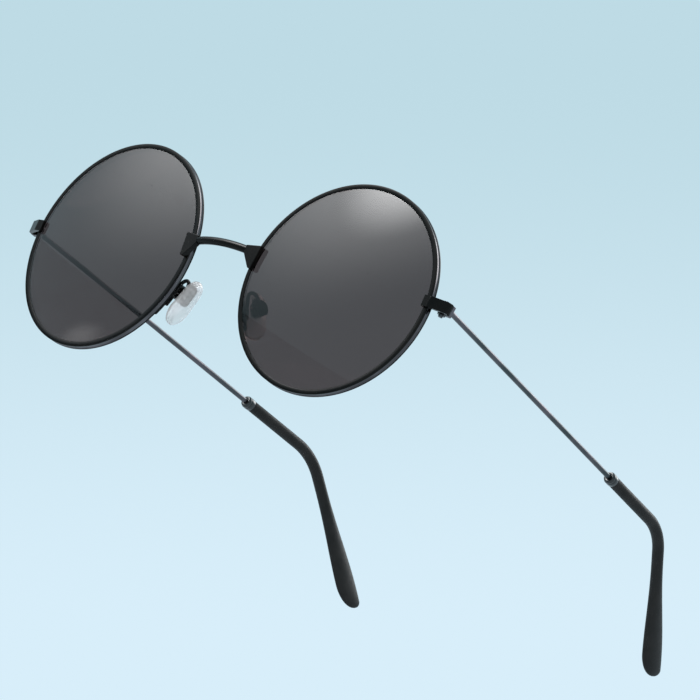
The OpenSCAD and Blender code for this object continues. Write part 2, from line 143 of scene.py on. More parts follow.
# selects the vertices or faces whose middle passes the test
def pick(kind, test):
    bpy.ops.mesh.select_mode(type={"verts": "VERT", "faces": "FACE"}[kind])
    bpy.ops.mesh.select_all(action="DESELECT")
    mesh = bmesh.from_edit_mesh(bpy.context.object.data)
    for item in getattr(mesh, kind):
        item.select = test(item.co if kind == "verts" else item.calc_center_median())
    mesh.select_flush_mode()
    bmesh.update_edit_mesh(bpy.context.object.data)


def drawLine(name, points):
    bpy.ops.object.select_all(action="DESELECT")
    bpy.ops.mesh.primitive_plane_add(size=0.1)
    bpy.context.object.name = name
    bpy.ops.object.mode_set(mode="EDIT")
    bpy.ops.mesh.select_mode(type="VERT")
    bpy.ops.mesh.select_all(action="SELECT")
    bpy.ops.mesh.merge(type="CENTER")
    bpy.ops.transform.translate(value=points[0])
    for a, b in zip(points, points[1:]):
        extrudeBy(Vector(b) - Vector(a))
    bpy.ops.mesh.select_all(action="SELECT")
    return bpy.context.object


def drawFace(name, points, soft=0, segments=2):
    piece = drawLine(name, points)
    bpy.ops.mesh.edge_face_add()
    if soft:
        bpy.ops.mesh.bevel(offset=soft, segments=segments, affect="VERTICES")
    bpy.ops.mesh.select_all(action="SELECT")
    return piece


def drawDisc(name, sides, radius, location, rotation=(0, 0, 0)):
    bpy.ops.object.select_all(action="DESELECT")
    bpy.ops.mesh.primitive_circle_add(vertices=sides, radius=radius, fill_type="NGON", location=location,
                                      rotation=rotation)
    disc = bpy.context.object
    disc.name = name
    applyPlace()
    editMode(disc)
    bpy.ops.mesh.select_all(action="SELECT")
    return disc


def cleanShell():
    bpy.ops.mesh.select_mode(type="VERT")
    bpy.ops.mesh.select_all(action="SELECT")
    bpy.ops.mesh.remove_doubles(threshold=0.002)
    bpy.ops.mesh.normals_make_consistent(inside=False)


def softEdges(piece, width, segments=2, angle=32):
    bevel = piece.modifiers.new("softEdges", "BEVEL")
    bevel.width = width
    bevel.segments = segments
    bevel.limit_method = "ANGLE"
    bevel.angle_limit = math.radians(angle)
    selectOnly(piece)
    bpy.ops.object.modifier_apply(modifier="softEdges")


def cutOrJoin(piece, other, operation):
    join = piece.modifiers.new("joined", "BOOLEAN")
    join.object = other
    join.operation = operation
    join.solver = "EXACT"
    selectOnly(piece)
    bpy.ops.object.modifier_apply(modifier="joined")
    bpy.data.objects.remove(other)


def placePiece(piece, place):
    selectOnly(piece)
    piece.matrix_world = place
    applyPlace()


def smoothPiece(piece, angle):
    selectOnly(piece)
    bpy.ops.object.shade_smooth_by_angle(angle=math.radians(angle))


# keeps flat faces evenly shaded beside their soft edges
def flatFaces(piece):
    selectOnly(piece)
    weighted = piece.modifiers.new("flatFaces", "WEIGHTED_NORMAL")
    weighted.keep_sharp = True
    bpy.ops.object.modifier_apply(modifier="flatFaces")


def setIn(piece, body, slot, replaced):
    piece.data.materials.clear()
    piece.data.materials.append(looks[slot])
    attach(piece, body)
    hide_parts(*replaced)


# stands a left piece up, and copies it across for the right side
def bothSides(piece, place, body, slot, replaced, angle=35):
    placePiece(piece, standing @ place)
    smoothPiece(piece, angle)
    piece.name = "left" + piece.name
    bpy.ops.object.duplicate(linked=False)
    other = bpy.context.object
    other.name = "right" + piece.name[len("left"):]
    placePiece(other, mirrored)
    editMode(other)
    bpy.ops.mesh.select_all(action="SELECT")
    bpy.ops.mesh.normals_make_consistent(inside=False)
    objectMode()
    for side, half in (("left", piece), ("right", other)):
        own = body if body == "front" else side + "_" + body
        setIn(half, own, slot, [side + "_" + node for node in replaced])
    return piece, other


# finishes
def newMaterial(name):
    material = bpy.data.materials.new(name)
    material.use_nodes = True
    return material, material.node_tree, material.node_tree.nodes["Principled BSDF"]


def setSockets(shader, values):
    for key, value in values.items():
        shader.inputs[key].default_value = value


def grainTexture(tree, scale, stretch=(1, 1, 1), detail=3, turn=(0, 0, 0)):
    place = tree.nodes.new("ShaderNodeTexCoord")
    mapping = tree.nodes.new("ShaderNodeMapping")
    mapping.inputs["Scale"].default_value = stretch
    mapping.inputs["Rotation"].default_value = turn
    noise = tree.nodes.new("ShaderNodeTexNoise")
    noise.inputs["Scale"].default_value = scale
    noise.inputs["Detail"].default_value = detail
    tree.links.new(place.outputs["Object"], mapping.inputs["Vector"])
    tree.links.new(mapping.outputs["Vector"], noise.inputs["Vector"])
    return noise.outputs["Fac"]


def varyColor(tree, shader, fac, dark, light, low=0.35, high=0.65):
    ramp = tree.nodes.new("ShaderNodeValToRGB")
    ramp.color_ramp.elements[0].position = low
    ramp.color_ramp.elements[0].color = (*dark, 1)
    ramp.color_ramp.elements[1].position = high
    ramp.color_ramp.elements[1].color = (*light, 1)
    tree.links.new(fac, ramp.inputs["Fac"])
    tree.links.new(ramp.outputs["Color"], shader.inputs["Base Color"])


def varyRoughness(tree, shader, fac, low, high):
    spread = tree.nodes.new("ShaderNodeMapRange")
    spread.inputs["From Min"].default_value = 0.3
    spread.inputs["From Max"].default_value = 0.7
    spread.inputs["To Min"].default_value = low
    spread.inputs["To Max"].default_value = high
    tree.links.new(fac, spread.inputs["Value"])
    tree.links.new(spread.outputs["Result"], shader.inputs["Roughness"])


def addBump(tree, shader, fac, strength, distance):
    bump = tree.nodes.new("ShaderNodeBump")
    bump.inputs["Strength"].default_value = strength
    bump.inputs["Distance"].default_value = distance
    tree.links.new(fac, bump.inputs["Height"])
    tree.links.new(bump.outputs["Normal"], shader.inputs["Normal"])


def enamelBlack():
    material, tree, shader = newMaterial("enamelBlack")
    setSockets(shader, {"Specular IOR Level": 0.08, "Coat Weight": 0.05, "Coat Roughness": 0.05})
    varyColor(tree, shader, grainTexture(tree, 140), (0.0022, 0.0022, 0.0022), (0.0062, 0.0054, 0.0048))
    varyRoughness(tree, shader, grainTexture(tree, 900), 0.12, 0.22)
    addBump(tree, shader, grainTexture(tree, 2600, detail=2), 0.2, 0.00001)
    return material


def grooveSteel():
    material, tree, shader = newMaterial("grooveSteel")
    setSockets(shader, {"Metallic": 1.0})
    varyColor(tree, shader, grainTexture(tree, 160), (0.07, 0.062, 0.066), (0.13, 0.118, 0.124))
    varyRoughness(tree, shader, grainTexture(tree, 1100), 0.1, 0.22)
    addBump(tree, shader, grainTexture(tree, 2600, detail=2), 0.2, 0.00001)
    return material


def gunmetalWire():
    material, tree, shader = newMaterial("gunmetalWire")
    setSockets(shader, {"Metallic": 1.0})
    varyColor(tree, shader, grainTexture(tree, 180, (1, 0.5, 1)), (0.055, 0.066, 0.07), (0.13, 0.112, 0.125))
    varyRoughness(tree, shader, grainTexture(tree, 700, (1, 0.1, 1)), 0.24, 0.42)
    addBump(tree, shader, grainTexture(tree, 3000, (1, 0.04, 1)), 0.3, 0.00001)
    return material


def darkSteel():
    material, tree, shader = newMaterial("darkSteel")
    setSockets(shader, {"Metallic": 1.0})
    varyColor(tree, shader, grainTexture(tree, 900), (0.035, 0.037, 0.04), (0.08, 0.082, 0.086))
    varyRoughness(tree, shader, grainTexture(tree, 2500), 0.22, 0.4)
    addBump(tree, shader, grainTexture(tree, 5000), 0.25, 0.00001)
    return material


def collarGloss():
    material, tree, shader = newMaterial("collarGloss")
    setSockets(shader, {"Specular IOR Level": 0.3, "Coat Weight": 0.6, "Coat Roughness": 0.03})
    varyColor(tree, shader, grainTexture(tree, 500), (0.002, 0.002, 0.0023), (0.005, 0.005, 0.005))
    varyRoughness(tree, shader, grainTexture(tree, 1500), 0.08, 0.16)
    addBump(tree, shader, grainTexture(tree, 1800), 0.2, 0.00001)
    return material


def tipCharcoal():
    material, tree, shader = newMaterial("tipCharcoal")
    setSockets(shader, {"Specular IOR Level": 0.16})
    varyColor(tree, shader, grainTexture(tree, 220), (0.011, 0.0108, 0.0105), (0.017, 0.016, 0.0155))
    varyRoughness(tree, shader, grainTexture(tree, 1400), 0.4, 0.54)
    addBump(tree, shader, grainTexture(tree, 5200, detail=5), 0.3, 0.00002)
    return material


def lensTint():
    material, tree, shader = newMaterial("lensTint")
    setSockets(shader, {"Transmission Weight": 1.0, "IOR": 1.4})
    varyColor(tree, shader, grainTexture(tree, 30, detail=1), (0.096, 0.068, 0.066), (0.1, 0.071, 0.069))
    shader.inputs["Roughness"].default_value = 0
    return material


def clearSilicone():
    material, tree, shader = newMaterial("clearSilicone")
    setSockets(shader, {"Transmission Weight": 0.66, "IOR": 1.32, "Specular IOR Level": 0.5})
    varyColor(tree, shader, grainTexture(tree, 160), (1, 0.965, 0.97), (1, 0.985, 0.985))
    varyRoughness(tree, shader, grainTexture(tree, 400), 0.02, 0.06)
    addBump(tree, shader, grainTexture(tree, 1200, detail=1), 0.12, 0.00002)
    return material


def insertSteel():
    material, tree, shader = newMaterial("insertSteel")
    setSockets(shader, {"Metallic": 0.8})
    place = tree.nodes.new("ShaderNodeTexCoord")
    # one wave pattern gives the ribs their bump and also paints shade into their grooves
    ribsAndGrooveShade = tree.nodes.new("ShaderNodeTexWave")
    ribsAndGrooveShade.bands_direction = "Z"
    ribsAndGrooveShade.inputs["Scale"].default_value = 300
    ribsAndGrooveShade.inputs["Distortion"].default_value = 0.6
    tree.links.new(place.outputs["Object"], ribsAndGrooveShade.inputs["Vector"])
    # painted shade: the rib troughs are coloured near-black and the crests bright steel, so the grooves look
    # shaded whatever the light
    varyColor(tree, shader, ribsAndGrooveShade.outputs["Fac"], (0.003, 0.003, 0.003), (0.3, 0.29, 0.285), 0.3, 0.95)
    varyRoughness(tree, shader, grainTexture(tree, 3000, (1, 1, 0.2)), 0.3, 0.5)
    addBump(tree, shader, ribsAndGrooveShade.outputs["Fac"], 0.4, 0.00005)
    return material


looks = {
    "frame_black": enamelBlack(),
    "temple_gunmetal": gunmetalWire(),
    "dark_screws": darkSteel(),
    "collar_black": collarGloss(),
    "tip_plastic": tipCharcoal(),
    "lens_tint": lensTint(),
    "pad_silicone": clearSilicone(),
    "bright_steel": insertSteel(),
}
for part in frame["record"]["subparts"]:
    node = nodes[part["node"]]
    node.data.materials.clear()
    node.data.materials.append(looks[part["material_slot"]])
print("finishes ready")

# rim: its section is drawn at the hinge side and spun about the lens axis, all but the lock's split
# the floor and walls of its outer channel have a bare finish; "bareIn" and "bareOut" are how far
# under the floor and short of the rim's outside they may lie, and "level" leaves flat sides out
rimShape = {"lip": 0.35, "channel": 0.22, "groove": 0.45, "grooveH": 0.9, "split": 0.4, "soft": 0.05,
            "steps": 256, "bareIn": 0.02, "bareOut": 0.03, "level": 0.8}


def makeRim(shape):
    groove = grooveSteel()
    d, lip = fit["rimDepth"] / 2, shape["lip"]
    inner, outer = fit["rimIn"], fit["rimIn"] + fit["rimW"]
    deep = outer - shape["channel"]
    side = [(inner, shape["grooveH"] / 2), (inner, d), (outer, d), (outer, d - lip),
            (deep, d - lip - shape["channel"])]
    section = [(r, -y) for r, y in side] + [(r, y) for r, y in reversed(side)]
    section += [(inner + shape["groove"], 0)]
    rim = drawFace("Rim", [(r, y, 0) for r, y in section], shape["soft"])
    gap = shape["split"] / (inner + outer)
    bpy.ops.mesh.spin(steps=shape["steps"], angle=2 * math.pi - 2 * gap, center=(0, 0, 0), axis=(0, 1, 0))
    cleanShell()
    objectMode()
    bare = []
    for face in rim.data.polygons:
        x, y, z = face.center
        between = deep - shape["bareIn"] < math.hypot(x, z) < outer - shape["bareOut"]
        if between and abs(y) < d - lip and abs(face.normal.y) < shape["level"]:
            bare.append(face.index)
    middle = math.degrees(math.asin(fit["hingeZ"] / outer))
    place = atLens @ turned(-middle - math.degrees(gap), "Y")
    halves = bothSides(rim, place, "front", "frame_black", ["rim"])
    for half in halves:
        half.data.materials.append(groove)
        for index in bare:
            half.data.polygons[index].material_index = 1


makeRim(rimShape)
print("rims ready")

# lens: two bent faces and a bevelled edge, spun about its axis
lensShape = {"thick": 1.6, "curve": 130.0, "clear": 0.05, "rings": 20, "steps": 192}


def makeLens(shape):
    edge = fit["rimIn"] - shape["clear"]
    curve, half = shape["curve"], shape["thick"] / 2
    reach = math.sqrt(curve ** 2 - edge ** 2)
    bevel = rimShape["grooveH"] / 2 - shape["clear"]
    radii = [edge * math.sin(math.pi / 2 * i / shape["rings"]) for i in range(shape["rings"] + 1)]
    front = [(r, reach - half - math.sqrt(curve ** 2 - r ** 2)) for r in radii]
    back = [(r, reach + half - math.sqrt(curve ** 2 - r ** 2)) for r in radii]
    rim = [(edge, -bevel), (fit["rimIn"] + rimShape["groove"] - shape["clear"], 0), (edge, bevel)]
    lens = drawLine("Lens", [(r, y, 0) for r, y in front + rim + back[::-1]])
    bpy.ops.mesh.spin(steps=shape["steps"], angle=2 * math.pi, center=(0, 0, 0), axis=(0, 1, 0))
    cleanShell()
    objectMode()
    bothSides(lens, atLens, "front", "lens_tint", ["lens"])


makeLens(lensShape)
print("lenses ready")

# bridge: a bowed bar between two fan-shaped plates that lie on the rims
bridgeShape = {"barD": 1.9, "barZ": 4.14, "bow": 0.96, "rise": 20.0, "over": 1.2, "sides": 40, "steps": 40,
               "plateT": 1.4, "plateH": 5.8, "lap": 0.25, "plateL": 3.25, "foot": 0.9, "bite": 0.1,
               "soft": 0.14}


def makePlate(shape):
    inner = fit["rimIn"] - shape["lap"]
    high, low = shape["barZ"] + shape["plateH"] / 4, shape["barZ"] - shape["plateH"] * 3 / 4
    neck = fit["rimIn"] + shape["plateL"] + shape["bite"]
    lowX = math.sqrt(inner ** 2 - low ** 2)
    front = -fit["rimDepth"] / 2
    outline = [(-neck, shape["barZ"] + shape["barD"] / 2), (-math.sqrt(inner ** 2 - high ** 2), high),
               (-lowX, low), (-lowX - shape["foot"], low), (-neck, shape["barZ"] - shape["barD"] / 2)]
    plate = drawFace("plate", [(x, front, z) for x, z in outline])
    extrudeBy((0, -shape["plateT"], 0))
    cleanShell()
    objectMode()
    softEdges(plate, shape["soft"], 3)
    placePiece(plate, atLens)
    return plate


def makeBridge(shape):
    half = fit["lensX"] - fit["rimIn"] - shape["plateL"]
    bow = shape["bow"]
    radius = (half ** 2 + bow ** 2) / (2 * bow)
    reach = math.asin(half / radius) + math.radians(shape["over"])
    outer = fit["rimIn"] + fit["rimW"]
    endY = -outer * math.sin(math.radians(fit["wrap"])) - fit["rimDepth"] / 2 - shape["plateT"] / 2
    rise = math.radians(shape["rise"])
    start = Vector((-radius * math.sin(reach), -radius * math.cos(reach), 0))
    bar = drawDisc("bridge_bar", shape["sides"], shape["barD"] / 2, start, (0, math.pi / 2, math.pi - reach))
    bpy.ops.mesh.spin(steps=shape["steps"], angle=2 * reach, center=(0, 0, 0), axis=(0, 0, -1))
    cleanShell()
    objectMode()
    middle = shifted(0, endY - bow * math.cos(rise), shape["barZ"] + bow * math.sin(rise))
    placePiece(bar, middle @ turned(-shape["rise"], "X") @ shifted(0, radius, 0))
    left = makePlate(shape)
    right = makePlate(shape)
    placePiece(right, mirrored)
    editMode(right)
    cleanShell()
    objectMode()
    cutOrJoin(bar, left, "UNION")
    cutOrJoin(bar, right, "UNION")
    placePiece(bar, standing)
    smoothPiece(bar, 32)
    flatFaces(bar)
    setIn(bar, "front", "frame_black", ["bridge"])


makeBridge(bridgeShape)
print("bridge ready")

# small fittings: the CAD solids, each with its sharp edges worn soft to the width in its row
fittings = {
    "end_piece": ("EndPiece", "front", "frame_black", 0.12),
    "lock_upper": ("LockUpper", "front", "frame_black", 0.08),
    "lock_lower": ("LockLower", "front", "frame_black", 0.08),
    "lock_screw": ("LockScrew", "front", "dark_screws", 0.05),
    "hinge_front": ("HingeFront", "front", "frame_black", 0.07),
    "hinge_rear": ("HingeRear", "temple", "temple_gunmetal", 0.06),
    "hinge_screw": ("HingeScrew", "front", "dark_screws", 0.05),
    "temple_wire": ("TempleWire", "temple", "temple_gunmetal", 0.12),
    "pad_screw": ("PadScrew", "front", "bright_steel", 0.05),
}
worn = {"merge": 0.001, "level": 0.5, "smooth": 30}


def makeFitting(node, name, body, slot, width):
    for side in ("left", "right"):
        bpy.ops.object.select_all(action="DESELECT")
        piece = bpy.data.objects.new(side + name, nodes[side + "_" + node].data.copy())
        bpy.context.scene.collection.objects.link(piece)
        placePiece(piece, Matrix.Scale(1 / mm, 4))
        editMode(piece)
        bpy.ops.mesh.select_all(action="SELECT")
        bpy.ops.mesh.remove_doubles(threshold=worn["merge"])
        bpy.ops.mesh.dissolve_limited(angle_limit=math.radians(worn["level"]))
        objectMode()
        softEdges(piece, width)
        placePiece(piece, Matrix.Scale(mm, 4))
        smoothPiece(piece, worn["smooth"])
        flatFaces(piece)
        setIn(piece, body if body == "front" else side + "_" + body, slot, [side + "_" + node])


for node, (name, body, slot, width) in fittings.items():
    makeFitting(node, name, body, slot, width)
print("fittings ready")

# collar: a turned ring with a chamfered front and a fine groove
collarShape = {"at": 80.4, "long": 2.2, "d": 3.0, "bore": 0.02, "nose": 0.5, "grooveAt": 0.35, "groove": 0.12,
               "soft": 0.08, "steps": 64}


def makeCollar(shape):
    bore, radius = fit["wireD"] / 2 + shape["bore"], shape["d"] / 2
    start, end, nose, groove = shape["at"], shape["at"] + shape["long"], shape["nose"], shape["groove"]
    slot = start + nose + shape["grooveAt"]
    outline = [(bore, start), (radius - nose / 2, start), (radius, start + nose), (radius, slot),
               (radius - groove, slot + groove), (radius, slot + 2 * groove), (radius, end), (bore, end)]
    collar = drawFace("Collar", [(r, y, 0) for r, y in outline], shape["soft"])
    bpy.ops.mesh.delete(type="ONLY_FACE")
    bpy.ops.mesh.select_all(action="SELECT")
    bpy.ops.mesh.spin(steps=shape["steps"], angle=2 * math.pi, center=(0, 0, 0), axis=(0, 1, 0))
    cleanShell()
    objectMode()
    bothSides(collar, atHinge @ shifted(fit["wireOut"], 0, 0), "temple", "collar_black", ["collar"])


makeCollar(collarShape)
print("collars ready")

# temple tip: a round sleeve drawn out ring by ring into a flat oblique end, then bent over the ear
tipShape = {"d": 2.8, "long": 33.6, "w": 6.2, "t": 2.5, "start": 3.0, "full": 28.0, "cut": 7.5, "corner": 1.2,
            "bendR": 14.4, "bend": 42.4, "bendSteps": 16, "rings": 36, "crowd": 0.8, "sides": 48,
            "soft": 0.15, "softFrom": 60, "smooth": 50}


def ease(u):
    u = min(max(u, 0), 1)
    return u * u * (3 - 2 * u)


def arcFall(u):
    return 1 - math.sqrt(max(0, 1 - u * u))


def tipRing(shape, t):
    endPart = max(0, (t - shape["long"] + shape["cut"]) / shape["cut"])
    cornerPart = max(0, (t - shape["long"] + shape["corner"]) / shape["corner"])
    widened = ease((t - shape["start"]) / (shape["full"] - shape["start"]))
    halfW = shape["d"] / 2 + (shape["w"] - shape["d"]) / 2 * widened
    rear = halfW - shape["corner"] * arcFall(cornerPart)
    face = (shape["w"] - shape["corner"]) * arcFall(endPart) - halfW
    thick = (shape["d"] + (shape["t"] - shape["d"]) * ease(t / shape["full"])) / 2
    return thick * math.sqrt(max(0, 1 - endPart ** 3)), (rear + face) / 2, (rear - face) / 2


def makeTip(shape):
    straight = fit["bendAt"] - collarShape["at"] - collarShape["long"]
    bow = shape["bendR"] * math.radians(shape["bend"])
    count = shape["bendSteps"]
    stations = [(-straight, shape["d"] / 2, 0, shape["d"] / 2)]
    stations += [(bow * i / count, shape["d"] / 2, 0, shape["d"] / 2) for i in range(count)]
    for i in range(shape["rings"]):
        t = shape["long"] * math.sin(math.pi / 2 * (i / shape["rings"]) ** shape["crowd"])
        thick, middle, high = tipRing(shape, t)
        stations.append((bow + t, thick, middle, high))
    tip = drawDisc("TempleTip", shape["sides"], shape["d"] / 2, (0, -straight, 0), (math.pi / 2, 0, 0))
    for (y0, thick0, mid0, high0), (y1, thick1, mid1, high1) in zip(stations, stations[1:]):
        extrudeBy((0, y1 - y0, mid1 - mid0))
        bpy.ops.transform.resize(value=(thick1 / thick0, 1, high1 / high0), center_override=(0, y1, mid1))
    end = Vector((0, bow + shape["long"], shape["w"] / 2 - shape["corner"]))
    extrudeBy(end - Vector((0, y1, mid1)))
    bpy.ops.transform.resize(value=(0, 0, 0), center_override=end)
    for i in reversed(range(count)):
        y = bow * i / count
        pick("verts", lambda p: p.y > y + near)
        bpy.ops.transform.rotate(value=math.radians(shape["bend"] / count), orient_axis="X",
                                 center_override=(0, y, 0))
    cleanShell()
    objectMode()
    softEdges(tip, shape["soft"], 2, shape["softFrom"])
    bothSides(tip, atBend, "temple", "tip_plastic", ["temple_tip"], shape["smooth"])


makeTip(tipShape)
print("tips ready")

# nose pad: an oval drawn out into a soft dome, moulded round its ribbed insert
padShape = {"back": -1.3, "long": 12.0, "w": 7.8, "t": 2.6, "up": 4.8, "sink": 0.35, "thickShare": 0.65,
            "lowW": 0.5, "lowL": 0.52, "topW": 0.42, "topL": 0.4, "rings": 14, "tipShare": 0.02, "sides": 64,
            "soft": 0.25, "softFrom": 50, "smooth": 50}
insertShape = {"long": 5.0, "w": 2.2, "t": 0.5, "up": 0.5, "proud": 0.03, "ring": 0.3, "slope": 0.25,
               "dish": 0.22, "sides": 16, "tabT": 1.3, "tabR": 0.75, "tabAt": -0.2, "tabSides": 12,
               "bite": 0.1, "soft": 0.05, "softFrom": 40}


def drawStadium(name, x, halfL, radius, z, sides):
    run = halfL - radius
    angles = [math.pi * i / sides for i in range(sides + 1)]
    points = [(x, radius * math.cos(a), z + run + radius * math.sin(a)) for a in angles]
    points += [(x, -radius * math.cos(a), z - run - radius * math.sin(a)) for a in angles]
    return drawFace(name, points)


def makePad(shape):
    w = shape["w"]
    low = shape["up"] - shape["long"] + shape["lowL"] * w  # middles of the two rounded ends
    top = shape["up"] - shape["topL"] * w
    pad = drawDisc("NosePad", shape["sides"], 1, (shape["back"], 0, 0), (0, math.pi / 2, 0))
    for test, across, along, middle in ((lambda p: p.z > near, shape["topW"] * w, shape["topL"] * w, top),
                                        (lambda p: p.z < -near, shape["lowW"] * w, shape["lowL"] * w, low)):
        pick("verts", test)
        bpy.ops.transform.resize(value=(1, across, along), center_override=(shape["back"], 0, 0))
        bpy.ops.transform.translate(value=(0, 0, middle))
    pick("verts", lambda p: abs(p.z) < near)
    bpy.ops.transform.resize(value=(1, (shape["topW"] + shape["lowW"]) / 2 * w, 1),
                             center_override=(shape["back"], 0, 0))
    bpy.ops.transform.translate(value=(0, 0, (top + low) / 2))
    pick("faces", lambda p: True)
    thick = shape["thickShare"] * shape["t"]
    first = math.asin(-shape["sink"] / shape["thickShare"])
    angles = [first + (math.pi / 2 - first) * i / shape["rings"] for i in range(shape["rings"] + 1)]
    middle, run = (top + low) / 2, (top - low) / 2
    endL = (shape["lowL"] + shape["topL"]) / 2 * w
    bpy.ops.transform.resize(value=(1, math.cos(first), (run + endL * math.cos(first)) / (run + endL)),
                             center_override=(shape["back"], 0, middle))
    for a, b in zip(angles, angles[1:]):
        grow = max(math.cos(b), shape["tipShare"]) / math.cos(a)
        lengthen = (run + endL * math.cos(b)) / (run + endL * math.cos(a))
        extrudeBy((thick * (math.sin(a) - math.sin(b)), 0, 0))
        bpy.ops.transform.resize(value=(1, grow, lengthen), center_override=(0, 0, middle))
    cleanShell()
    objectMode()
    softEdges(pad, shape["soft"], 3, shape["softFrom"])
    bothSides(pad, atPad, "pad", "pad_silicone", ["nose_pad"], shape["smooth"])


# an oval plate with a raised middle in a sunk ring, and behind it the tab that the screw holds
def makeInsert(shape):
    back, radius, side = padShape["back"], shape["tabR"], -shape["tabT"] / 2
    face = back - shape["t"]
    insert = drawStadium("PadInsert", back + shape["proud"], shape["long"] / 2, shape["w"] / 2, shape["up"],
                         shape["sides"])
    extrudeBy((-shape["t"] - shape["proud"], 0, 0))
    pick("faces", lambda p: p.x < face + near)
    bpy.ops.mesh.inset(thickness=shape["ring"], depth=0)
    extrudeBy((shape["dish"], 0, 0))
    bpy.ops.mesh.inset(thickness=shape["slope"], depth=0)
    extrudeBy((-shape["dish"], 0, 0))
    cleanShell()
    objectMode()
    angles = [math.pi * i / shape["tabSides"] for i in range(shape["tabSides"] + 1)]
    tab = drawFace("tab", [(back - shape["bite"], side, z) for z in (-radius, radius)]
                   + [(shape["tabAt"] + radius * math.sin(a), side, radius * math.cos(a)) for a in angles])
    extrudeBy((0, shape["tabT"], 0))
    cleanShell()
    objectMode()
    cutOrJoin(insert, tab, "UNION")
    softEdges(insert, shape["soft"], 2, shape["softFrom"])
    bothSides(insert, atPad, "pad", "bright_steel", ["pad_insert"])


makePad(padShape)
makeInsert(insertShape)
print("nose pads ready")

# pad arm: a wire from a foot behind the rim, up and over in a narrow loop, and down to the pad box
# the foot is stepped: each row of "feet" gives the angle it ends at round the lens, and its depth
armShape = {"d": 0.9, "sides": 32, "loopR": 1.55, "loopSteps": 28, "twist": 14, "up": 1.75, "in": 0.43,
            "leg": 5.4, "legSteps": 4, "end": 0.3, "footFrom": 20, "footIn": 0.45, "footW": 1.3,
            "footSoft": 0.3, "feet": ((27, 1.5), (34, 0.8)), "boxD": 3.8, "boxL": 1.9, "boxSides": 56,
            "boxSoft": 0.1, "wall": 0.42, "floor": 0.3, "pivot": -0.2, "screwHole": 0.49}


def makeArm(shape):
    arm = drawDisc("PadArm", shape["sides"], shape["d"] / 2, (0, -shape["loopR"], -shape["leg"]))
    for i in range(shape["legSteps"]):
        extrudeBy((0, 0, shape["leg"] / shape["legSteps"]))
    bpy.ops.mesh.spin(steps=shape["loopSteps"], angle=math.pi, center=(0, 0, 0), axis=(1, 0, 0))
    extrudeBy((0, 0, -shape["end"]))
    cleanShell()
    objectMode()
    placePiece(arm, padStand @ shifted(-shape["in"], 0, shape["up"]) @ turned(-shape["twist"], "Z")
               @ shifted(0, -shape["loopR"], 0))

    inner, outer = fit["rimIn"] - shape["footIn"], fit["rimIn"] - shape["footIn"] + shape["footW"]
    back = fit["rimDepth"] / 2
    for end, depth in shape["feet"]:
        corners = ((inner, back), (outer, back), (outer, back + depth), (inner, back + depth))
        foot = drawFace("foot", [(-r, y, 0) for r, y in corners])
        turn = end - shape["footFrom"]
        bpy.ops.mesh.spin(steps=turn, angle=math.radians(turn), center=(0, 0, 0), axis=(0, 1, 0))
        cleanShell()
        objectMode()
        softEdges(foot, shape["footSoft"], 3)
        placePiece(foot, atLens @ turned(-shape["footFrom"], "Y"))
        cutOrJoin(arm, foot, "UNION")

    bpy.ops.object.select_all(action="DESELECT")
    bpy.ops.mesh.primitive_cylinder_add(vertices=shape["boxSides"], radius=shape["boxD"] / 2,
                                        depth=shape["boxL"], rotation=(0, math.pi / 2, 0))
    box = bpy.context.object
    applyPlace()
    editMode(box)
    pick("faces", lambda p: p.x < -shape["boxL"] / 2 + near)
    bpy.ops.mesh.inset(thickness=shape["wall"], depth=0)
    extrudeBy((shape["boxL"] - shape["floor"], 0, 0))
    cleanShell()
    objectMode()
    softEdges(box, shape["boxSoft"], 2)
    bpy.ops.object.select_all(action="DESELECT")
    bpy.ops.mesh.primitive_cylinder_add(vertices=shape["sides"], radius=shape["screwHole"],
                                        depth=2 * shape["boxD"], location=(shape["pivot"], 0, 0),
                                        rotation=(math.pi / 2, 0, 0))
    cutOrJoin(box, bpy.context.object, "DIFFERENCE")
    placePiece(box, atPad)
    cutOrJoin(arm, box, "UNION")
    bothSides(arm, Matrix.Identity(4), "front", "frame_black", ["pad_arm"])


makeArm(armShape)
print("pad arms ready")

# studio: a backdrop that fades up the picture and shows to camera, glossy and transmission rays,
# while all others get an even pale light
backdrop = {"top": (0.515, 0.708, 0.785), "bottom": (0.687, 0.855, 0.955), "middle": 0.0, "spread": 0.033,
            "studio": (0.86, 0.87, 0.88), "strength": 0.9}


